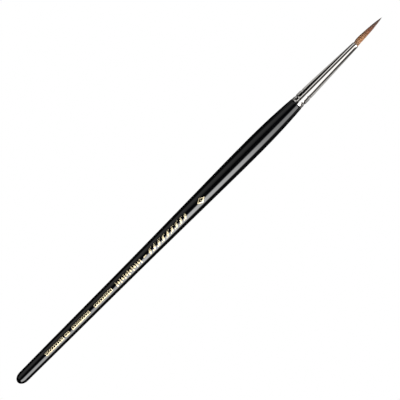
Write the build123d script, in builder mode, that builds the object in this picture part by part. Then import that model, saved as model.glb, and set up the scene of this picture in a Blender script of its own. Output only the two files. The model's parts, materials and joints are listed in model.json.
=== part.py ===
from build123d import *

import os
from math import cos, radians, sin

os.makedirs("parts", exist_ok=True)

# All sizes are millimetres. The brush lies along +X with its hair point at the +X end, its
# middle over the origin and the belly of its handle on Z = 0. A station is a distance along
# the brush axis from the rounded butt, unless its group says otherwise.

# Handle outline: a setback is measured back from the shoulder that the ferrule seats on
handle_length = 137.5
butt_round = 2.9
butt_radius = 2.08
butt_taper = 0.011  # growth in radius per millimetre where the rounded end runs out
middle_station = 60.0
middle_radius = 2.54
upper_setback = 44.1
upper_radius = 3.0
belly_setback = 21.0
belly_radius = 3.245
neck_setback = 8.5
neck_radius = 2.96
shoulder_step = 0.09  # how far the shoulder stands out past the ferrule that seats on it
shoulder_taper = -0.085
lacquer_thickness = 0.13

# Ferrule: stations from its rear rim, which seats on the handle's shoulder
ferrule_length = 29.2
ferrule_wall = 0.2
ferrule_radius = 2.32
waist_radius = 2.21
waist_length = 1.6
mouth_radius = 1.19
crimp_setback = 1.75
crimp_spacing = 2.95
crimp_width = 1.1
crimp_depth = 0.17

# Tenon of the handle inside the ferrule, and the glue round it
tenon_length = 12.5
tenon_chamfer = 0.35
glue_thickness = 0.08
glue_setback = 0.3

# Hair inside the ferrule: the tied roots, the thread and the resin that sets them
plug_setback = 15.0
plug_base = 1.1
plug_length = 4.2
root_radius = 0.95
root_length = 2.6
flare_length = 1.9
hair_clearance = 0.01
thread_diameter = 0.2
thread_pitch = 0.23
thread_turns = 5
thread_start = 0.55
thread_clearance = 0.01

# Hair outside the ferrule: stations from the mouth, at the four places where it is hinged
hair_out = 13.3
heel_station = 1.5
heel_radius = 1.05
belly_station = 3.9
hair_belly_radius = 0.985
shoulder_station = 6.7
hair_shoulder_radius = 0.825
point_station = 9.4
point_radius = 0.6
spire_setback = 2.0
spire_radius = 0.37
sway_travel = 25.0
bend_travel = 30.0
hair_gap = 0.06

# Gold foil on the handle: stations from the butt, turned a little way round the handle
foil_thickness = 0.025
foil_bond = 0.005  # film of adhesive that holds the foil off the lacquer
foil_turn = 5.0
size_mark_station = 90.1
size_mark_length = 3.6
size_mark_width = 2.2
size_mark_dot = 0.5
scroll_station = 73.8
scroll_motifs = 9
scroll_pitch = 2.15
leaf_length = 2.3
leaf_width = 0.8
leaf_slant = 58.0
scroll_dot = 0.42
bar_band_station = 54.6
bar_motifs = 7
bar_pitch = 1.95
bar_height = 1.75
bar_width = 0.42
lozenge_width = 0.95
rule_length = 1.5
rule_width = 0.3
rule_station = 62.7
fine_height = 1.2
fine_width = 0.3
fine_pitch = 0.92
fine_bands = {
    "fine_band_upper": (42.2, 10),
    "fine_band_middle": (31.2, 10),
    "fine_band_short": (24.45, 3),
    "fine_band_lower": (18.3, 10),
}

# Share of each half-axis at which a Bezier curve's control points follow a quarter ellipse
quarter_bow = 0.5523

# Places worked out from the sizes above
shoulder_radius = ferrule_radius + shoulder_step
mouth_station = handle_length + ferrule_length
brush_length = mouth_station + hair_out
butt = (-brush_length / 2, 0, belly_radius)
plug_station = handle_length + plug_setback
root_station = plug_station + plug_base
thread_radius = thread_diameter / 2
brush_axis = Axis(butt, (1, 0, 0))
section = Plane(origin=butt, x_dir=(1, 0, 0), z_dir=(0, -1, 0))
foil_plane = Plane(
    origin=butt,
    x_dir=(1, 0, 0),
    z_dir=(0, -sin(radians(foil_turn)), cos(radians(foil_turn))),
)


def handle_outline(inset):
    """The handle's side view from butt to shoulder, moved inwards by inset."""
    radius = butt_radius - inset
    Bezier(
        (inset, 0),
        (inset, quarter_bow * radius),
        (butt_round - quarter_bow * (butt_round - inset), radius),
        (butt_round, radius),
    )
    Spline(
        (butt_round, radius),
        (middle_station, middle_radius - inset),
        (handle_length - upper_setback, upper_radius - inset),
        (handle_length - belly_setback, belly_radius - inset),
        tangents=[(1, butt_taper), (1, 0)],
    )
    Spline(
        (handle_length - belly_setback, belly_radius - inset),
        (handle_length - neck_setback, neck_radius - inset),
        (handle_length, shoulder_radius - inset),
        tangents=[(1, 0), (1, shoulder_taper)],
    )


def handle_section(inset):
    """The face between the brush axis and the handle outline."""
    handle_outline(inset)
    Line((handle_length, shoulder_radius - inset), (handle_length, 0))
    Line((handle_length, 0), (inset, 0))


def cone_radius(station, inset):
    """Radius of the ferrule's straight cone, at a distance from its rear rim."""
    cone_start = crimp_setback + crimp_spacing + crimp_width / 2 + waist_length
    share = (station - cone_start) / (ferrule_length - cone_start)
    return waist_radius + share * (mouth_radius - waist_radius) - inset


def crimped_outline(inset, end):
    """The ferrule's side view with its two crimps, from the rear rim to a station on the cone."""
    band = ferrule_radius - inset
    waist = waist_radius - inset
    first = handle_length + crimp_setback
    second = first + crimp_spacing
    half = crimp_width / 2
    Line((handle_length, band), (first - half, band))
    ThreePointArc((first - half, band), (first, band - crimp_depth), (first + half, band))
    Line((first + half, band), (second - half, band))
    ThreePointArc((second - half, band), (second, band - crimp_depth), (second + half, waist))
    Line((second + half, waist), (second + half + waist_length, waist))
    Line((second + half + waist_length, waist), (handle_length + end, cone_radius(end, inset)))


def make_lacquer_coat():
    """Black lacquer over the whole handle, open only at the ferrule end."""
    with BuildPart() as piece:
        with BuildSketch(section):
            with BuildLine():
                handle_section(0)
            make_face()
            with BuildLine():
                handle_section(lacquer_thickness)
            make_face(mode=Mode.SUBTRACT)
        revolve(axis=brush_axis)
    return piece


def make_handle_core():
    """Turned wood: the handle under the lacquer and the tenon that the ferrule is crimped to."""
    inset = ferrule_wall + glue_thickness
    nose = tenon_length - tenon_chamfer
    nose_radius = cone_radius(nose, inset)
    with BuildPart() as piece:
        with BuildSketch(section):
            with BuildLine():
                handle_section(lacquer_thickness)
            make_face()
            with BuildLine():
                crimped_outline(inset, nose)
                Polyline(
                    (handle_length + nose, nose_radius),
                    (handle_length + tenon_length, nose_radius - tenon_chamfer),
                    (handle_length + tenon_length, 0),
                    (handle_length, 0),
                    (handle_length, ferrule_radius - inset),
                )
            make_face()
        revolve(axis=brush_axis)
    return piece


def make_ferrule():
    """Drawn tube with two crimps at the back and a rounded lip at the mouth."""
    lip = ferrule_wall / 2
    end = ferrule_length - lip
    outer = cone_radius(end, 0)
    inner = cone_radius(end, ferrule_wall)
    with BuildPart() as piece:
        with BuildSketch(section):
            with BuildLine():
                crimped_outline(0, end)
                ThreePointArc(
                    (handle_length + end, outer),
                    (mouth_station, (outer + inner) / 2),
                    (handle_length + end, inner),
                )
                crimped_outline(ferrule_wall, end)
                Line((handle_length, ferrule_radius), (handle_length, ferrule_radius - ferrule_wall))
            make_face()
        revolve(axis=brush_axis)
    return piece


def make_tenon_glue():
    """The film of glue between the tenon and the ferrule."""
    reach = tenon_length - tenon_chamfer
    inner_inset = ferrule_wall + glue_thickness
    with BuildPart() as piece:
        with BuildSketch(section):
            with BuildLine():
                crimped_outline(ferrule_wall, reach)
                Line(
                    (handle_length + reach, cone_radius(reach, ferrule_wall)),
                    (handle_length + reach, cone_radius(reach, inner_inset)),
                )
                crimped_outline(inner_inset, reach)
                Line(
                    (handle_length, ferrule_radius - ferrule_wall),
                    (handle_length, ferrule_radius - inner_inset),
                )
            make_face()
            with Locations((handle_length + glue_setback / 2, ferrule_radius)):
                Rectangle(glue_setback, 2 * ferrule_radius, mode=Mode.SUBTRACT)
        revolve(axis=brush_axis)
    return piece


def make_root_resin():
    """The plug that the tied roots are set in, a cup that is open towards the hair."""
    front = plug_setback + plug_length
    cup_radius = root_radius + thread_diameter + 2 * thread_clearance
    with BuildPart() as piece:
        with BuildSketch(section):
            with BuildLine():
                Polyline(
                    (plug_station, 0),
                    (plug_station, cone_radius(plug_setback, ferrule_wall)),
                    (handle_length + front, cone_radius(front, ferrule_wall)),
                    (handle_length + front, cup_radius),
                    (root_station, cup_radius),
                    (root_station, 0),
                    close=True,
                )
            make_face()
        revolve(axis=brush_axis)
    return piece


def make_root_thread():
    """Turns of thread that tie the roots together before they are set."""
    with BuildPart() as piece:
        with BuildSketch(section):
            for turn in range(thread_turns):
                station = root_station + thread_start + turn * thread_pitch
                with Locations((station, root_radius + thread_radius + thread_clearance)):
                    Circle(thread_radius)
        revolve(axis=brush_axis)
    return piece


def hair_section():
    """The face between the brush axis and the outline of the hair outside the ferrule."""
    mouth_hair = mouth_radius - ferrule_wall - hair_clearance
    Spline(
        (mouth_station, mouth_hair),
        (mouth_station + heel_station, heel_radius),
        (mouth_station + belly_station, hair_belly_radius),
        (mouth_station + shoulder_station, hair_shoulder_radius),
        (mouth_station + point_station, point_radius),
        (mouth_station + hair_out - spire_setback, spire_radius),
        (mouth_station + hair_out, 0),
    )
    Line((mouth_station + hair_out, 0), (mouth_station, 0))
    Line((mouth_station, 0), (mouth_station, mouth_hair))


def cut_for_hinge(station, radius, travel):
    """Ends a length of hair short of the hinge, hollowed so that the next one can turn in it."""
    end = mouth_station + station - radius * sin(radians(travel)) - hair_gap
    with Locations((end + hair_out, 0)):
        Rectangle(2 * hair_out, 4 * heel_radius, mode=Mode.SUBTRACT)
    with Locations((mouth_station + station, 0)):
        Circle(radius + hair_gap, mode=Mode.SUBTRACT)


def make_hair_root():
    """Hair from the tied roots to just outside the mouth, which stays with the ferrule."""
    flare = root_station + root_length
    full = flare + flare_length
    full_radius = cone_radius(full - handle_length, ferrule_wall + hair_clearance)
    mouth_hair = mouth_radius - ferrule_wall - hair_clearance
    with BuildPart() as piece:
        with BuildSketch(section):
            with BuildLine():
                hair_section()
            make_face()
            cut_for_hinge(heel_station, heel_radius, sway_travel)
            with BuildLine():
                Polyline(
                    (root_station, 0),
                    (root_station, root_radius),
                    (flare, root_radius),
                    (full, full_radius),
                    (mouth_station, mouth_hair),
                    (mouth_station, 0),
                    close=True,
                )
            make_face()
        revolve(axis=brush_axis)
    return piece


def make_hair_length(start, start_radius, next_hinge):
    """One length of hair with a ball at its own hinge, cut back for the next hinge if it has one."""
    centre = (mouth_station + start, 0)
    with BuildPart() as piece:
        with BuildSketch(section):
            with BuildLine():
                hair_section()
            make_face()
            with Locations((centre[0] - hair_out, 0)):
                Rectangle(2 * hair_out, 4 * heel_radius, mode=Mode.SUBTRACT)
            with Locations(centre):
                Circle(start_radius)
            if next_hinge:
                cut_for_hinge(*next_hinge)
            with Locations((centre[0], -heel_radius)):
                Rectangle(4 * hair_out, 2 * heel_radius, mode=Mode.SUBTRACT)
        revolve(axis=brush_axis)
    return piece


def make_foil(draw):
    """Foil shapes drawn flat over the handle, each laid on the lacquer as a thin curved piece."""
    with BuildPart() as skin:
        with BuildSketch(section):
            with BuildLine():
                handle_section(-foil_bond - foil_thickness)
            make_face()
            with BuildLine():
                handle_section(-foil_bond)
            make_face(mode=Mode.SUBTRACT)
        revolve(axis=brush_axis)
    with BuildSketch(foil_plane) as marks:
        draw()
    with BuildPart() as piece:
        for mark in marks.sketch.faces():
            add(extrude(mark, amount=2 * belly_radius, mode=Mode.PRIVATE) & skin.part)
    return piece


def draw_size_mark():
    """An open lozenge with a dot in it."""
    with Locations((size_mark_station, 0)):
        lozenge(size_mark_length, size_mark_width)
        lozenge(size_mark_length * 0.6, size_mark_width * 0.6, mode=Mode.SUBTRACT)
        lozenge(size_mark_dot, size_mark_dot)


def lozenge(length, width, mode=Mode.ADD):
    """A lozenge with its long diagonal along the handle."""
    half_length = length / 2
    half_width = width / 2
    corners = [(half_length, 0), (0, half_width), (-half_length, 0), (0, -half_width)]
    Polygon(*corners, mode=mode)


def draw_scroll_band():
    """Slanted leaves in a row, with a dot above and below between each pair."""
    tip = leaf_length / 2
    with BuildSketch(mode=Mode.PRIVATE) as leaf:
        with BuildLine():
            ThreePointArc((-tip, 0), (0, leaf_width / 2), (tip, 0))
            ThreePointArc((tip, 0), (0, -leaf_width / 2), (-tip, 0))
        make_face()
    with Locations((scroll_station, 0)):
        with GridLocations(scroll_pitch, 0, scroll_motifs, 1):
            add(leaf.sketch, rotation=leaf_slant)
        with GridLocations(scroll_pitch, 2 * leaf_width, scroll_motifs - 1, 2):
            lozenge(scroll_dot, scroll_dot)


def draw_bar_band():
    """Upright bars and lozenges by turns."""
    with Locations((bar_band_station, 0)):
        with GridLocations(bar_pitch, 0, bar_motifs, 1):
            Rectangle(bar_width, bar_height)
        with GridLocations(bar_pitch, 0, bar_motifs - 1, 1):
            lozenge(lozenge_width, bar_height * 0.8)


def draw_rule():
    """The short rule between the scroll band and the bar band."""
    with Locations((rule_station, 0)):
        SlotOverall(rule_length, rule_width)


def fine_band(station, marks):
    """A drawing of small bars by turns full height and broken in the middle."""

    def draw():
        with Locations((station, 0)):
            with GridLocations(fine_pitch, 0, marks, 1):
                Rectangle(fine_width, fine_height)
            with GridLocations(fine_pitch, fine_height * 0.7, marks - 1, 2):
                Rectangle(fine_width, fine_height * 0.3)

    return draw


parts = {
    "handle_core": make_handle_core(),
    "lacquer_coat": make_lacquer_coat(),
    "ferrule": make_ferrule(),
    "tenon_glue": make_tenon_glue(),
    "root_resin": make_root_resin(),
    "root_thread": make_root_thread(),
    "hair_root": make_hair_root(),
    "hair_heel": make_hair_length(
        heel_station, heel_radius, (belly_station, hair_belly_radius, bend_travel)
    ),
    "hair_belly": make_hair_length(
        belly_station, hair_belly_radius, (shoulder_station, hair_shoulder_radius, bend_travel)
    ),
    "hair_shoulder": make_hair_length(
        shoulder_station, hair_shoulder_radius, (point_station, point_radius, bend_travel)
    ),
    "hair_point": make_hair_length(point_station, point_radius, None),
    "size_mark": make_foil(draw_size_mark),
    "scroll_band": make_foil(draw_scroll_band),
    "bar_band": make_foil(draw_bar_band),
    "short_rule": make_foil(draw_rule),
}
for band, (station, marks) in fine_bands.items():
    parts[band] = make_foil(fine_band(station, marks))

for label, piece in parts.items():
    piece.part.label = label
    export_step(piece.part, f"parts/{label}.step")
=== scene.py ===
import json
import math

import bmesh
import bpy
import numpy as np
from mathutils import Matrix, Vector


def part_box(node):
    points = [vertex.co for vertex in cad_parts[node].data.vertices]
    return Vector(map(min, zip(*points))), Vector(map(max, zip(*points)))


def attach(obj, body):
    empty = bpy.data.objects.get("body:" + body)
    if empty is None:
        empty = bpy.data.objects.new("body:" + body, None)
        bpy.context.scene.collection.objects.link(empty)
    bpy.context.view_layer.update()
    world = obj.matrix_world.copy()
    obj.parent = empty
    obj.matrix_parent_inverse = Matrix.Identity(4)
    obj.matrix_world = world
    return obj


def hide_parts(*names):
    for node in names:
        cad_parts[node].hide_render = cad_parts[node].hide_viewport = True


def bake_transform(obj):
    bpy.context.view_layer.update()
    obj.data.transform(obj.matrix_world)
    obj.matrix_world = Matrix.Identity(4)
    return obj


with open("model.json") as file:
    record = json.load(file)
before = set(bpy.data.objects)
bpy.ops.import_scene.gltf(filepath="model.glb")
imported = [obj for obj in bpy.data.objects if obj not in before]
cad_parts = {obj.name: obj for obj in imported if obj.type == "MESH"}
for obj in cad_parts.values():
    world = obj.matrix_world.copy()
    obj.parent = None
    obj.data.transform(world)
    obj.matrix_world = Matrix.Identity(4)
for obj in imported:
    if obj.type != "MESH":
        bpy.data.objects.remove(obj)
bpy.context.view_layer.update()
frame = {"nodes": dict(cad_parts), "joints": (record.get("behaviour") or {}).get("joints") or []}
MM = 0.001
turned_sides = 96  # sides round the lacquer coat and the ferrule

# ---------------------------------------------------------------- places read from the frame

butt_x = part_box("lacquer_coat")[0].x
shoulder_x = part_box("lacquer_coat")[1].x
mouth_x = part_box("ferrule")[1].x
hair_start_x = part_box("hair_root")[0].x
hair_tip_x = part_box("hair_point")[1].x
axis_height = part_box("lacquer_coat")[1].z / 2
hinge_x = {joint["name"]: joint["pos_m"][0] for joint in frame["joints"]}
tuft_nodes = ("hair_root", "hair_heel", "hair_belly", "hair_shoulder", "hair_point")


def wall_points(node, outwards):
    """Station and radius of a node's points on its outer or its inner wall, in order along X."""
    mesh = frame["nodes"][node].data
    side = 1 if outwards else -1
    found = set()
    for face in mesh.polygons:
        radial = Vector((0, face.center.y, face.center.z - axis_height))
        if radial.length < 1e-9 or face.normal.dot(radial.normalized()) * side < 0.02:
            continue
        for index in face.vertices:
            point = mesh.vertices[index].co
            radius = math.hypot(point.y, point.z - axis_height)
            found.add((round(point.x, 7), round(radius, 7)))
    return sorted(found)


def thinned(points, gap):
    """Leaves out points that lie closer than gap to the last one kept."""
    kept = [points[0]]
    for point in points[1:-1]:
        if math.dist(point, kept[-1]) >= gap and math.dist(point, points[-1]) >= gap:
            kept.append(point)
    return kept + [points[-1]]


def filled(points, gap):
    """Adds points along the straight stretches, so that no two are further apart than gap."""
    path = [points[0]]
    for start, end in zip(points, points[1:]):
        parts = max(1, math.ceil(math.dist(start, end) / gap))
        for part in range(1, parts + 1):
            share = part / parts
            path.append(tuple(a + (b - a) * share for a, b in zip(start, end)))
    return path


def smoothed(points, step):
    """A smooth path through the points, with its own points about a step apart."""
    points = np.array(points, float)
    chords = np.hypot(*np.diff(points, axis=0).T)
    length = np.concatenate([[0], np.cumsum(chords)])
    slope = np.gradient(points, length, axis=0)
    where = np.linspace(0, length[-1], max(3, int(length[-1] / step) + 1))
    span = np.clip(np.searchsorted(length, where, "right") - 1, 0, len(chords) - 1)
    run = chords[span][:, None]
    t = ((where - length[span]) / chords[span])[:, None]
    blend_start = (1 + 2 * t) * (1 - t) ** 2
    blend_end = t * t * (3 - 2 * t)
    ease_start = t * (1 - t) ** 2 * run
    ease_end = t * t * (t - 1) * run
    path = blend_start * points[span] + blend_end * points[span + 1]
    path += ease_start * slope[span] + ease_end * slope[span + 1]
    return [tuple(point) for point in path]


def upper_hull(points):
    """The points of a crowned outline that no straight line between two others passes over."""
    hull = []
    for x, r in sorted(points):
        while len(hull) > 1:
            (x0, r0), (x1, r1) = hull[-2:]
            if (x1 - x0) * (r - r0) - (r1 - r0) * (x - x0) < 0:
                break
            hull.pop()
        hull.append((x, r))
    return hull


# ---------------------------------------------------------------- meshes


def new_piece(name, vertices, faces, material):
    """A smooth-shaded mesh object whose place is in its mesh."""
    mesh = bpy.data.meshes.new(name)
    mesh.from_pydata(vertices, [], faces)
    mesh.materials.append(material)
    mesh.polygons.foreach_set("use_smooth", [True] * len(mesh.polygons))
    piece = bpy.data.objects.new(name, mesh)
    bpy.context.scene.collection.objects.link(piece)
    return piece


def turn_outwards(mesh):
    """Merges doubles and points every face of a closed shell outwards."""
    shell = bmesh.new()
    shell.from_mesh(mesh)
    bmesh.ops.remove_doubles(shell, verts=shell.verts, dist=1e-8)
    bmesh.ops.recalc_face_normals(shell, faces=shell.faces)
    shell.to_mesh(mesh)
    shell.free()


def lathe(name, profile, material):
    """A closed profile of (station, radius) points turned about the brush axis."""
    count = len(profile)
    vertices = []
    for step in range(turned_sides):
        angle = 2 * math.pi * step / turned_sides
        across, up = math.cos(angle), math.sin(angle)
        vertices += [(x, r * across, axis_height + r * up) for x, r in profile]
    faces = []
    for step in range(turned_sides):
        here = step * count
        there = (step + 1) % turned_sides * count
        for point in range(count):
            following = (point + 1) % count
            faces.append((here + point, here + following, there + following, there + point))
    piece = new_piece(name, vertices, faces, material)
    turn_outwards(piece.data)
    return piece


# ---------------------------------------------------------------- node helpers


def add(tree, kind, inputs=None, **settings):
    """A node with its settings, and its inputs set or linked by socket name or number."""
    node = tree.nodes.new(kind)
    for key, value in settings.items():
        setattr(node, key, value)
    for key, value in (inputs or {}).items():
        if isinstance(value, bpy.types.NodeSocket):
            tree.links.new(value, node.inputs[key])
        else:
            node.inputs[key].default_value = value
    return node


def maths(tree, operation, *values):
    """The result of a Math node on up to three values or sockets."""
    inputs = dict(enumerate(values))
    return add(tree, "ShaderNodeMath", inputs, operation=operation).outputs[0]


def group(name, kind, inputs, outputs):
    """An empty node group with named sockets, and the nodes that stand for its two ends."""
    tree = bpy.data.node_groups.new(name, kind)
    for label, socket, value in inputs:
        made = tree.interface.new_socket(label, in_out="INPUT", socket_type=socket)
        if value is not None:
            made.default_value = value
    for label, socket in outputs:
        tree.interface.new_socket(label, in_out="OUTPUT", socket_type=socket)
    return tree, tree.nodes.new("NodeGroupInput").outputs, tree.nodes.new("NodeGroupOutput")


def use_group(tree, source, inputs):
    """A node group placed in a material, with its inputs set or linked by name."""
    node = add(tree, "ShaderNodeGroup", node_tree=source)
    for key, value in inputs.items():
        if isinstance(value, bpy.types.NodeSocket):
            tree.links.new(value, node.inputs[key])
        else:
            node.inputs[key].default_value = value
    return node


def new_material(name, **shader):
    """A material with a Principled shader whose plain values are set on its own sockets."""
    material = bpy.data.materials.new(name)
    material.use_nodes = True
    tree = material.node_tree
    surface = tree.nodes["Principled BSDF"]
    for key, value in shader.items():
        surface.inputs[key.replace("_", " ")].default_value = value
    return material, tree, surface


def colour_steps(tree, factor, steps):
    """A colour ramp through (place, colour) steps."""
    ramp = add(tree, "ShaderNodeValToRGB", {"Fac": factor})
    points = ramp.color_ramp.elements
    while len(points) < len(steps):
        points.new(1.0)
    for point, (place, colour) in zip(points, steps):
        point.position = place
        point.color = (*colour, 1.0)
    return ramp.outputs["Color"]


def srgb(red, green, blue):
    """A colour given as 0 to 255 on a screen, in the linear light that shaders use."""
    shares = [value / 255 for value in (red, green, blue)]
    return tuple(s / 12.92 if s <= 0.04045 else ((s + 0.055) / 1.055) ** 2.4 for s in shares)


# ---------------------------------------------------------------- shader groups


def make_stretched_noise():
    """Noise drawn out along the brush, as marks of drawing, polishing and turning are."""
    tree, given, result = group(
        "stretched_noise", "ShaderNodeTree",
        [("Along", "NodeSocketFloat", 50.0), ("Across", "NodeSocketFloat", 4000.0),
         ("Detail", "NodeSocketFloat", 3.0)],
        [("Value", "NodeSocketFloat")],
    )
    place = add(tree, "ShaderNodeTexCoord").outputs["Object"]
    scale = add(tree, "ShaderNodeCombineXYZ", {0: given["Along"], 1: given["Across"], 2: given["Across"]})
    stretched = add(tree, "ShaderNodeVectorMath", {0: place, 1: scale.outputs[0]}, operation="MULTIPLY")
    noise = add(
        tree, "ShaderNodeTexNoise",
        {"Vector": stretched.outputs[0], "Scale": 1.0, "Detail": given["Detail"], "Roughness": 0.6},
    )
    tree.links.new(noise.outputs["Fac"], result.inputs["Value"])
    return tree


def make_fine_wear():
    """Handling marks: a bumpy film and dull smudges, as a roughness and a height."""
    tree, given, result = group(
        "fine_wear", "ShaderNodeTree",
        [("Roughness", "NodeSocketFloat", 0.1), ("Smudge", "NodeSocketFloat", 0.05),
         ("Grain size", "NodeSocketFloat", 0.6)],
        [("Roughness", "NodeSocketFloat"), ("Height", "NodeSocketFloat")],
    )
    place = add(tree, "ShaderNodeTexCoord").outputs["Object"]
    film_scale = maths(tree, "DIVIDE", 1000.0, given["Grain size"])
    film = add(tree, "ShaderNodeTexNoise", {"Vector": place, "Scale": film_scale, "Detail": 2.0})
    smudge = add(tree, "ShaderNodeTexNoise", {"Vector": place, "Scale": 160.0, "Detail": 4.0})
    lift = add(
        tree, "ShaderNodeMapRange",
        {"Value": smudge.outputs["Fac"], "From Min": 0.45, "From Max": 0.75, "To Max": given["Smudge"]},
        clamp=True,
    )
    tree.links.new(maths(tree, "ADD", given["Roughness"], lift.outputs[0]), result.inputs["Roughness"])
    tree.links.new(film.outputs["Fac"], result.inputs["Height"])
    return tree


stretched_noise = make_stretched_noise()
fine_wear = make_fine_wear()


def bumped(tree, surface, height, strength, distance):
    """Feeds a height through a Bump node to the shader's normal."""
    bump = add(tree, "ShaderNodeBump", {"Height": height, "Strength": strength, "Distance": distance})
    tree.links.new(bump.outputs["Normal"], surface.inputs["Normal"])


# ---------------------------------------------------------------- materials


def make_black_lacquer():
    """Deep gloss black, with the faint waviness of sprayed and polished lacquer."""
    material, tree, surface = new_material("black_lacquer", IOR=1.5)
    wear = use_group(tree, fine_wear, {"Roughness": 0.055, "Smudge": 0.05, "Grain size": 0.9})
    tone = add(tree, "ShaderNodeTexNoise", {"Scale": 90.0, "Detail": 3.0})
    tree.links.new(add(tree, "ShaderNodeTexCoord").outputs["Object"], tone.inputs["Vector"])
    steps = [(0.3, (0.0002, 0.0002, 0.0003)), (0.7, (0.0006, 0.0006, 0.0008))]
    tree.links.new(colour_steps(tree, tone.outputs["Fac"], steps), surface.inputs["Base Color"])
    tree.links.new(wear.outputs["Roughness"], surface.inputs["Roughness"])
    bumped(tree, surface, wear.outputs["Height"], 0.12, 0.004 * MM)
    return material


def make_bright_nickel():
    """Bright nickel with the fine lines of a drawn tube, a little warm, with dull smudges."""
    material, tree, surface = new_material("bright_nickel", Metallic=1.0)
    lines = use_group(tree, stretched_noise, {"Along": 60.0, "Across": 9000.0, "Detail": 3.0})
    wear = use_group(tree, fine_wear, {"Roughness": 0.06, "Smudge": 0.05, "Grain size": 0.5})
    steps = [(0.3, srgb(214, 209, 203)), (0.7, srgb(236, 233, 229))]
    tree.links.new(colour_steps(tree, lines.outputs["Value"], steps), surface.inputs["Base Color"])
    tree.links.new(wear.outputs["Roughness"], surface.inputs["Roughness"])
    bumped(tree, surface, lines.outputs["Value"], 0.2, 0.004 * MM)
    return material


def make_gold_foil():
    """Pale hot-stamped gold, mottled and a little broken where the stamp was light."""
    material, tree, surface = new_material("gold_foil", Metallic=0.8)
    place = add(tree, "ShaderNodeTexCoord").outputs["Object"]
    mottle = add(
        tree, "ShaderNodeTexNoise",
        {"Vector": place, "Scale": 2600.0, "Detail": 5.0, "Roughness": 0.7},
    )
    steps = [(0.25, srgb(116, 96, 70)), (0.45, srgb(174, 161, 128)), (0.75, srgb(206, 198, 174))]
    tree.links.new(colour_steps(tree, mottle.outputs["Fac"], steps), surface.inputs["Base Color"])
    wear = use_group(tree, fine_wear, {"Roughness": 0.42, "Smudge": 0.25, "Grain size": 0.15})
    tree.links.new(wear.outputs["Roughness"], surface.inputs["Roughness"])
    bumped(tree, surface, mottle.outputs["Fac"], 0.4, 0.01 * MM)
    return material


def make_sable_hair():
    """Reddish-brown hair: pale at the mouth, orange-brown behind the belly, dark at the point."""
    material, tree, surface = new_material("sable_hair", Roughness=0.5, Specular_IOR_Level=0.3)
    along = add(tree, "ShaderNodeAttribute", attribute_name="along").outputs["Fac"]
    tone = add(tree, "ShaderNodeAttribute", attribute_name="tone").outputs["Fac"]
    steps = [
        (0.00, srgb(118, 94, 74)),
        (0.08, srgb(140, 106, 78)),
        (0.17, srgb(146, 101, 66)),
        (0.30, srgb(132, 96, 68)),
        (0.52, srgb(116, 72, 50)),
        (0.70, srgb(92, 68, 58)),
        (1.00, srgb(74, 60, 56)),
    ]
    body = colour_steps(tree, along, steps)
    # tone: each hair's own random tone, and on the solid middle a fixed low tone that is painted shade
    # between the hairs
    shade = add(tree, "ShaderNodeMapRange", {"Value": tone, "To Min": 0.8, "To Max": 1.0})
    varied = add(tree, "ShaderNodeVectorMath", {0: body, 1: shade.outputs[0]}, operation="MULTIPLY")
    tree.links.new(varied.outputs[0], surface.inputs["Base Color"])
    return material


def make_turned_wood():
    """Pale close-grained wood with its grain along the handle."""
    material, tree, surface = new_material("turned_wood", Roughness=0.6)
    grain = use_group(tree, stretched_noise, {"Along": 40.0, "Across": 1500.0, "Detail": 5.0})
    steps = [(0.3, srgb(168, 124, 78)), (0.5, srgb(204, 164, 114)), (0.7, srgb(222, 186, 138))]
    tree.links.new(colour_steps(tree, grain.outputs["Value"], steps), surface.inputs["Base Color"])
    bumped(tree, surface, grain.outputs["Value"], 0.4, 0.03 * MM)
    return material


def make_mottled(name, dark, light, scale, roughness, **shader):
    """A plain filler, such as glue, resin or thread, with its own mottle and fine bump."""
    material, tree, surface = new_material(name, Roughness=roughness, **shader)
    place = add(tree, "ShaderNodeTexCoord").outputs["Object"]
    mottle = add(tree, "ShaderNodeTexNoise", {"Vector": place, "Scale": scale, "Detail": 4.0})
    colour = colour_steps(tree, mottle.outputs["Fac"], [(0.35, dark), (0.65, light)])
    tree.links.new(colour, surface.inputs["Base Color"])
    bumped(tree, surface, mottle.outputs["Fac"], 0.3, 0.02 * MM)
    return material


black_lacquer = make_black_lacquer()
bright_nickel = make_bright_nickel()
gold_foil = make_gold_foil()
sable_hair = make_sable_hair()
turned_wood = make_turned_wood()
hard_glue = make_mottled("hard_glue", srgb(176, 152, 104), srgb(214, 194, 148), 900.0, 0.55)
amber_resin = make_mottled("amber_resin", srgb(126, 74, 26), srgb(176, 118, 52), 700.0, 0.2)
waxed_thread = make_mottled("waxed_thread", srgb(186, 168, 128), srgb(226, 212, 178), 6000.0, 0.65)


# ---------------------------------------------------------------- handle and ferrule


def make_lacquer_coat():
    """The lacquer as a closed shell, with the fine rounded edge that it has at the ferrule."""
    outer = [(butt_x, 0.0)] + [p for p in wall_points("lacquer_coat", True) if p[1] > 0.1 * MM]
    inner = [p for p in wall_points("lacquer_coat", False) if p[1] > 0.1 * MM]
    inner = [(butt_x + outer[-1][1] - inner[-1][1], 0.0)] + inner
    outer = smoothed(thinned(outer, 0.45 * MM), 0.4 * MM)
    inner = smoothed(thinned(inner, 1.5 * MM), 1.5 * MM)
    edge = 0.04 * MM
    end_x, end_radius = outer[-1]
    rim = [
        (end_x - edge, end_radius),
        (end_x - 0.3 * edge, end_radius - 0.3 * edge),
        (end_x, end_radius - edge),
        (end_x, inner[-1][1]),
    ]
    profile = outer[:-1] + rim + inner[-2::-1]
    piece = lathe("lacquer_shell", profile, black_lacquer)
    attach(piece, "handle")
    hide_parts("lacquer_coat")


def make_ferrule():
    """The drawn tube with its two rolled crimps, rounded lip and clean-cut rear rim."""
    outer = smoothed(filled(thinned(wall_points("ferrule", True), 0.09 * MM), 0.15 * MM), 0.06 * MM)
    inner = smoothed(filled(thinned(wall_points("ferrule", False), 0.09 * MM), 0.3 * MM), 0.14 * MM)
    profile = outer + inner[-2::-1]
    piece = lathe("nickel_ferrule", profile, bright_nickel)
    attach(piece, "handle")
    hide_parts("ferrule")


# ---------------------------------------------------------------- hair


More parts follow.
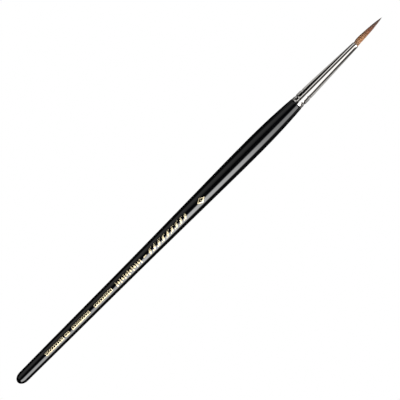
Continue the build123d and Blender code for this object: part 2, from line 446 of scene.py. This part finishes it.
loosening = 0.06  # how much fuller the hair is outside the ferrule, as a share of its radius
middle_share = 0.9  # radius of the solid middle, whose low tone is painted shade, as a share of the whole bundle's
# painted shade: the solid middle's low tone darkens it, as shade between the outer hairs
middle_shade_tone = 0.4
middle_sides = 24


def hair_outline():
    """Station and radius of the whole bundle of hair, from its roots to its point."""
    roots = [p for p in wall_points("hair_root", True) if p[0] <= mouth_x + 1e-6]
    tuft = [p for node in tuft_nodes for p in wall_points(node, True) if p[0] >= mouth_x - 1e-6]
    crown = upper_hull(tuft)
    stations = np.linspace(hair_start_x, hair_tip_x, 45)
    known = roots[:-1] + crown
    radii = np.interp(stations, *zip(*known))
    loosened = np.clip((stations - mouth_x) / (1.2 * MM), 0, 1)
    return stations, radii * (1 + loosening * loosened)


def thick_strands(tree, strands, place, along, tone, radius, sides):
    """Curves laid out and thickened into round strands. Each keeps its tone and its way along the
    tuft on its points, for the material to read."""
    for name, value in (("along", along), ("tone", tone), ("thickness", radius)):
        inputs = {"Geometry": strands, "Name": name, "Value": value}
        strands = add(tree, "GeometryNodeStoreNamedAttribute", inputs).outputs[0]
    laid = add(tree, "GeometryNodeSetPosition", {"Geometry": strands, "Position": place})
    ring = add(tree, "GeometryNodeCurvePrimitiveCircle", {"Resolution": sides, "Radius": 1.0})
    kept = add(tree, "GeometryNodeInputNamedAttribute", {"Name": "thickness"}, data_type="FLOAT")
    inputs = {
        "Curve": laid.outputs[0],
        "Profile Curve": ring.outputs[0],
        "Scale": kept.outputs[0],
        "Fill Caps": True,
    }
    return add(tree, "GeometryNodeCurveToMesh", inputs).outputs[0]


def make_hair_tree():
    """A bundle of tapering hairs between two stations, packed over the outline's round section."""
    tree, given, result = group(
        "hair_bundle", "GeometryNodeTree",
        [("From", "NodeSocketFloat", 0.0), ("To", "NodeSocketFloat", 0.01), ("Hairs", "NodeSocketInt", 800),
         ("Rings", "NodeSocketInt", 9), ("Sides", "NodeSocketInt", 5), ("Packing", "NodeSocketFloat", 0.9),
         ("Uneven ends", "NodeSocketFloat", 0.0), ("Taper", "NodeSocketFloat", 0.0),
         ("Waviness", "NodeSocketFloat", 0.00002), ("Lean", "NodeSocketFloat", 0.00025),
         ("Seed", "NodeSocketInt", 7), ("Material", "NodeSocketMaterial", None)],
        [("Geometry", "NodeSocketGeometry")],
    )
    stations, radii = hair_outline()
    widest = float(radii.max())

    def at_station(place):
        """Share of the widest radius, share of the way to the point, and lean, at a station."""
        inputs = {"Value": place, "From Min": hair_start_x, "From Max": hair_tip_x}
        share = add(tree, "ShaderNodeMapRange", inputs).outputs[0]
        outline = add(tree, "ShaderNodeFloatCurve", {"Value": share})
        curve = outline.mapping.curves[0]
        shares = (stations - hair_start_x) / (hair_tip_x - hair_start_x)
        curve.points[0].location = (0.0, radii[0] / widest)
        curve.points[1].location = (1.0, radii[-1] / widest)
        for step, radius in zip(shares[1:-1], radii[1:-1]):
            curve.points.new(step, radius / widest)
        outline.mapping.update()
        inputs = {"Value": place, "From Min": mouth_x, "From Max": hair_tip_x}
        along = add(tree, "ShaderNodeMapRange", inputs).outputs[0]
        inputs = {"Value": along, "From Max": 0.15}
        leaning = add(tree, "ShaderNodeMapRange", inputs, interpolation_type="SMOOTHSTEP").outputs[0]
        return outline.outputs[0], along, maths(tree, "MULTIPLY", given["Lean"], leaning)

    line = add(tree, "GeometryNodeCurvePrimitiveLine", {"End": (1.0, 0.0, 0.0)})
    ringed = add(tree, "GeometryNodeResampleCurve", {"Curve": line.outputs[0], "Count": given["Rings"]})
    copies = add(
        tree, "GeometryNodeDuplicateElements",
        {"Geometry": ringed.outputs[0], "Amount": given["Hairs"]}, domain="SPLINE",
    )
    hair = copies.outputs["Duplicate Index"]

    def chance(number, low=0.0, high=1.0):
        seed = maths(tree, "ADD", given["Seed"], float(number))
        node = add(tree, "FunctionNodeRandomValue", {"ID": hair, "Seed": seed}, data_type="FLOAT")
        node.inputs[2].default_value = low
        node.inputs[3].default_value = high
        return node.outputs[1]

    # how far along this piece, and along the whole bundle, a point of a hair is
    share = add(tree, "GeometryNodeSplineParameter").outputs["Factor"]
    lost = maths(tree, "MULTIPLY", given["Uneven ends"], maths(tree, "POWER", chance(1), 3.0))
    end = maths(tree, "SUBTRACT", given["To"], lost)
    reach = maths(tree, "SUBTRACT", end, given["From"])
    station = maths(tree, "MULTIPLY_ADD", share, reach, given["From"])
    fullness, along, lean = at_station(station)
    radius = maths(tree, "MULTIPLY", fullness, widest)

    # hairs are spread over the round section by the golden angle, and wander a little
    golden = math.pi * (3 - math.sqrt(5))
    crowd = maths(tree, "SQRT", maths(tree, "DIVIDE", given["Hairs"], given["Packing"]))
    thickness = maths(tree, "DIVIDE", radius, crowd)
    area_share = maths(tree, "DIVIDE", maths(tree, "ADD", hair, 0.5), given["Hairs"])
    spread = maths(tree, "SQRT", area_share)
    inside = maths(tree, "SUBTRACT", radius, thickness)
    angle = maths(tree, "MULTIPLY_ADD", hair, golden, chance(2, 0.0, 0.25))
    wave_step = maths(tree, "MULTIPLY", station, 260.0)
    own_wave = maths(tree, "MULTIPLY", chance(3), 90.0)
    wave_place = add(tree, "ShaderNodeCombineXYZ", {0: wave_step, 1: own_wave, 2: given["Seed"]})
    inputs = {"Vector": wave_place.outputs[0], "Scale": 1.0, "Detail": 1.0}
    wave = add(tree, "ShaderNodeTexNoise", inputs).outputs["Fac"]
    wander = maths(tree, "MULTIPLY", maths(tree, "SUBTRACT", wave, 0.5), given["Waviness"])
    angle = maths(tree, "ADD", angle, maths(tree, "DIVIDE", wander, widest))
    off_axis = maths(tree, "MULTIPLY", spread, inside)
    off_axis = maths(tree, "ADD", off_axis, maths(tree, "MULTIPLY", wander, fullness))
    across = maths(tree, "MULTIPLY_ADD", off_axis, maths(tree, "COSINE", angle), lean)
    up = maths(tree, "MULTIPLY_ADD", off_axis, maths(tree, "SINE", angle), axis_height)

    pointed = maths(tree, "MULTIPLY", given["Taper"], maths(tree, "POWER", share, 3.0))
    thickness = maths(tree, "MULTIPLY", thickness, maths(tree, "SUBTRACT", 1.0, pointed))
    place = add(tree, "ShaderNodeCombineXYZ", {0: station, 1: across, 2: up}).outputs[0]
    hairs = copies.outputs["Geometry"]
    solid = thick_strands(tree, hairs, place, along, chance(4), thickness, given["Sides"])

    # the solid middle of the bundle, seen only between the outer hairs; its low tone is painted shade there
    middle_end = maths(tree, "SUBTRACT", given["To"], given["Uneven ends"])
    middle_reach = maths(tree, "SUBTRACT", middle_end, given["From"])
    middle_station = maths(tree, "MULTIPLY_ADD", share, middle_reach, given["From"])
    middle_fullness, middle_along, middle_lean = at_station(middle_station)
    middle_radius = maths(tree, "MULTIPLY", middle_fullness, widest * middle_share)
    place = add(tree, "ShaderNodeCombineXYZ", {0: middle_station, 1: middle_lean, 2: axis_height})
    middle = thick_strands(
        tree, ringed.outputs[0], place.outputs[0], middle_along, middle_shade_tone, middle_radius, middle_sides
    )
    both = add(tree, "GeometryNodeJoinGeometry")
    tree.links.new(middle, both.inputs[0])
    tree.links.new(solid, both.inputs[0])
    real = add(tree, "GeometryNodeRealizeInstances", {"Geometry": both.outputs[0]})
    inputs = {"Geometry": real.outputs[0], "Material": given["Material"]}
    painted = add(tree, "GeometryNodeSetMaterial", inputs)
    tree.links.new(painted.outputs[0], result.inputs["Geometry"])
    return tree


def make_hair(tree, name, start, end, **values):
    """One length of the bundle as a plain mesh."""
    holder = new_piece(name + "_holder", [], [], sable_hair)
    modifier = holder.modifiers.new("bundle", "NODES")
    modifier.node_group = tree
    values = {"From": start, "To": end, "Material": sable_hair, **values}
    for socket in tree.interface.items_tree:
        if socket.in_out == "INPUT" and socket.name in values:
            modifier[socket.identifier] = values[socket.name]
    shown = holder.evaluated_get(bpy.context.evaluated_depsgraph_get())
    mesh = bpy.data.meshes.new_from_object(shown)
    mesh.name = name
    mesh.polygons.foreach_set("use_smooth", [True] * len(mesh.polygons))
    bpy.data.objects.remove(holder)
    piece = bpy.data.objects.new(name, mesh)
    bpy.context.scene.collection.objects.link(piece)
    return piece


def make_tuft():
    """The hair in five lengths, cut midway between the hinges; only the roots are fixed to the handle."""
    tree = make_hair_tree()
    hinges = [hinge_x[name] for name in ("tuft_sway", "belly_bend", "shoulder_bend", "point_bend")]
    bodies = ["handle", "heel", "belly", "shoulder", "point"]
    middles = [(a + b) / 2 for a, b in zip(hinges, hinges[1:])]
    cuts = [2 * hinges[0] - middles[0], *middles, hair_tip_x]
    roots = make_hair(tree, "roots_hair", hair_start_x, cuts[0], Rings=16)
    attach(roots, "handle")
    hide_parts("hair_root")
    for index, hinge in enumerate(hinges):
        body = bodies[index + 1]
        last = index == len(hinges) - 1
        ends = {"Uneven ends": 0.0018, "Taper": 0.6, "Rings": 14} if last else {}
        piece = make_hair(tree, body + "_hair", cuts[index], cuts[index + 1], **ends)
        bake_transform(piece)
        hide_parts("hair_" + body)


# ---------------------------------------------------------------- nodes that keep their CAD shape


def finish_nodes():
    """Gives every CAD node that is still shown its own material."""
    finishes = {
        "handle_core": turned_wood,
        "tenon_glue": hard_glue,
        "root_resin": amber_resin,
        "root_thread": waxed_thread,
    }
    for name, node in frame["nodes"].items():
        material = finishes.get(name)
        if name.endswith(("_mark", "_band", "_rule")) or name.startswith("fine_band"):
            material = gold_foil
        if material:
            node.data.materials.clear()
            node.data.materials.append(material)


make_lacquer_coat()
make_ferrule()
make_tuft()
finish_nodes()


# ---------------------------------------------------------------- floor, light and camera


def floor_slope():
    """Rise of the floor per metre towards the butt, where the brush lies on its belly and butt."""
    outline = wall_points("lacquer_coat", True)
    belly_x = max(outline, key=lambda point: point[1])[0]
    behind = [((axis_height - r) / (belly_x - x), x) for x, r in outline if belly_x - x > 40 * MM]
    return belly_x, min(behind)[0]


def make_floor():
    """A lit white table under the belly and the butt. Gloss sees it dark beside the handle."""
    belly_x, slope = floor_slope()
    size = 4.0
    corners = [(-size, -size), (size, -size), (size, size), (-size, size)]
    vertices = [(x, y, (belly_x - x) * slope) for x, y in corners]
    material = bpy.data.materials.new("pale_floor")
    material.use_nodes = True
    tree = material.node_tree
    tree.nodes.clear()
    place = add(tree, "ShaderNodeTexCoord").outputs["Object"]
    station = add(tree, "ShaderNodeSeparateXYZ", {0: place}).outputs[0]
    share = add(
        tree, "ShaderNodeMapRange",
        {"Value": station, "From Min": shoulder_x - 1 * MM, "From Max": mouth_x},
    )
    levels = [(0.0, 0.02), (0.3, 0.55), (0.7, 0.5), (1.0, 0.15)]
    card = colour_steps(tree, share.outputs[0], [(place, (v, v, v)) for place, v in levels])
    gloss = add(tree, "ShaderNodeLightPath").outputs["Is Glossy Ray"]
    strength = add(tree, "ShaderNodeMix", {0: gloss, 2: 1.0, 3: card}).outputs[0]
    light = add(tree, "ShaderNodeEmission", {"Strength": strength})
    add(tree, "ShaderNodeOutputMaterial", {"Surface": light.outputs[0]})
    floor = new_piece("floor", vertices, [(0, 1, 2, 3)], material)


def make_softbox(name, low, high, distance, half_length, side, levels, along):
    """A long soft panel beside the brush. low and high are its edges in degrees from overhead;
    levels are (degrees, strength) steps and along are (station, strength) steps."""
    rows = 25
    full_strength = 20.0
    vertices = []
    for row in range(rows):
        angle = math.radians(low + (high - low) * row / (rows - 1))
        across = side * distance * math.sin(angle)
        up = axis_height + distance * math.cos(angle)
        vertices += [(-half_length, across, up), (half_length, across, up)]
    faces = [(2 * row, 2 * row + 1, 2 * row + 3, 2 * row + 2) for row in range(rows - 1)]
    material = bpy.data.materials.new(name)
    material.use_nodes = True
    tree = material.node_tree
    tree.nodes.clear()
    axes = add(tree, "ShaderNodeSeparateXYZ", {0: add(tree, "ShaderNodeTexCoord").outputs["Object"]})
    height = maths(tree, "SUBTRACT", axes.outputs[2], axis_height)
    across = maths(tree, "ABSOLUTE", axes.outputs[1])
    angle = maths(tree, "ARCTAN2", across, height)
    turned = maths(tree, "DIVIDE", angle, math.radians(90))
    width = colour_steps(tree, turned, [(degrees / 90, (v, v, v)) for degrees, v in levels])
    station = add(
        tree, "ShaderNodeMapRange",
        {"Value": axes.outputs[0], "From Min": -half_length, "From Max": half_length},
    )
    steps = [((x + half_length) / (2 * half_length), (v, v, v)) for x, v in along]
    length = colour_steps(tree, station.outputs[0], steps)
    strength = maths(tree, "MULTIPLY", maths(tree, "MULTIPLY", width, length), full_strength)
    light = add(tree, "ShaderNodeEmission", {"Strength": strength})
    add(tree, "ShaderNodeOutputMaterial", {"Surface": light.outputs[0]})
    panel = new_piece(name, vertices, faces, material)
    panel.visible_camera = False
    panel.visible_shadow = False


def make_light_tent():
    """A small striped tent over the ferrule, which gives the bright tube its long clean lines.
    stripes are (millimetres from the brush axis as seen from above, strength) steps."""
    distance = 10 * MM
    stripes = [
        (-1.60, 0.05), (-1.04, 0.05), (-0.92, 0.4), (-0.78, 1.5), (-0.22, 1.5), (-0.08, 0.3), (0.04, 0.02),
        (0.42, 0.02), (0.52, 1.0), (0.68, 1.0), (0.80, 0.02), (0.94, 0.0), (1.60, 0.0),
    ]
    tube = wall_points("ferrule", True)
    stations = [p[0] for p in tube]
    radii = [p[1] for p in tube]
    vertices = []
    seen = []
    rows = 24
    columns = 49
    cone_shift = 0.9 * MM  # the tube tapers, so it mirrors what is a little further along
    full_radius = 1.95 * MM  # radius of the tube where the stripes have their given widths
    narrowing = 1.4  # the bright stripe narrows faster than the tube does
    for x in np.linspace(shoulder_x + 0.5 * MM, mouth_x + 0.6 * MM, rows):
        radius = float(np.interp(min(x, mouth_x - 0.2 * MM), stations, radii))
        reach = np.interp(x, [shoulder_x, mouth_x], [41, 54])
        for turn in np.radians(np.linspace(-reach, reach, columns)):
            offset = radius * math.sin(turn)
            angle = 2 * turn - math.asin(offset / distance)
            place = (x + cone_shift * math.cos(turn), distance * math.sin(angle))
            vertices.append((*place, axis_height + distance * math.cos(angle)))
            widened = (full_radius / radius) ** narrowing if offset < 0 else 1
            seen.append(offset * widened / MM)
    faces = []
    for corner in range(len(vertices) - columns):
        if (corner + 1) % columns:
            faces.append((corner, corner + 1, corner + columns + 1, corner + columns))
    material = bpy.data.materials.new("striped_tent")
    material.use_nodes = True
    tree = material.node_tree
    tree.nodes.clear()
    across = add(tree, "ShaderNodeAttribute", attribute_name="seen").outputs["Fac"]
    share = add(tree, "ShaderNodeMapRange", {"Value": across, "From Min": -1.6, "From Max": 1.6})
    steps = [((place + 1.6) / 3.2, (v, v, v)) for place, v in stripes]
    light = add(tree, "ShaderNodeEmission", {"Strength": colour_steps(tree, share.outputs[0], steps)})
    add(tree, "ShaderNodeOutputMaterial", {"Surface": light.outputs[0]})
    tent = new_piece("striped_tent", vertices, faces, material)
    tent.data.attributes.new("seen", "FLOAT", "POINT").data.foreach_set("value", seen)
    tent.visible_camera = False
    tent.visible_diffuse = False
    tent.visible_shadow = False


def make_lights():
    """A large soft panel on the right, a dim one on the left, and a dark room with a pale wall."""
    make_softbox(
        "soft_panel_right", 12, 82, 0.30, 0.5, -1,
        [(12, 0.0), (19, 0.1), (25, 0.8), (32, 1.0), (62, 1.0), (67, 0.85), (72, 0.25), (80, 0.0)],
        [(-0.5, 0.4), (-0.11, 0.4), (-0.075, 0.43), (-0.05, 0.58), (-0.03, 0.62), (-0.01, 0.5), (0.01, 0.47),
         (0.03, 0.42), (0.05, 0.3), (0.09, 0.25), (0.3, 0.25)],
    )
    make_softbox(
        "dim_panel_left", 20, 86, 0.34, 0.5, 1,
        [(20, 0.0), (34, 0.6), (48, 1.0), (66, 1.0), (76, 0.6), (86, 0.0)],
        [(-0.5, 0.032), (0.5, 0.032)],
    )
    fill = bpy.data.lights.new("overhead_fill", "AREA")
    fill.shape = "DISK"
    fill.size = 0.6
    fill.energy = 2.7
    lamp = bpy.data.objects.new("overhead_fill", fill)
    lamp.location = (0, -0.35, 0.55)
    lamp.visible_glossy = False
    lamp.visible_camera = False
    bpy.context.scene.collection.objects.link(lamp)
    world = bpy.data.worlds.new("room")
    world.use_nodes = True
    tree = world.node_tree
    seen = add(tree, "ShaderNodeLightPath").outputs["Is Camera Ray"]
    level = add(tree, "ShaderNodeMix", {0: seen, 2: 0.02, 3: 1.0}).outputs[0]
    tree.links.new(level, tree.nodes["Background"].inputs["Color"])
    bpy.context.scene.world = world


def make_camera():
    """Straight above the brush, with its point towards the upper right corner of the frame."""
    camera = bpy.data.objects.new("camera", bpy.data.cameras.new("camera"))
    bpy.context.scene.collection.objects.link(camera)
    camera.data.lens = 135
    camera.data.sensor_width = 36
    brush_length = hair_tip_x - butt_x
    seen_width = brush_length * 0.7756  # the brush lies along the frame's diagonal
    distance = seen_width * camera.data.lens / camera.data.sensor_width
    middle_x = (hair_tip_x + butt_x) / 2
    camera.location = (middle_x, 0.05 * MM, axis_height + distance)
    camera.rotation_euler = (0, 0, math.radians(-45))
    camera.data.clip_start = 0.01
    bpy.context.scene.camera = camera


make_floor()
make_lights()
make_light_tent()
make_camera()
bpy.context.scene.view_settings.view_transform = "Standard"
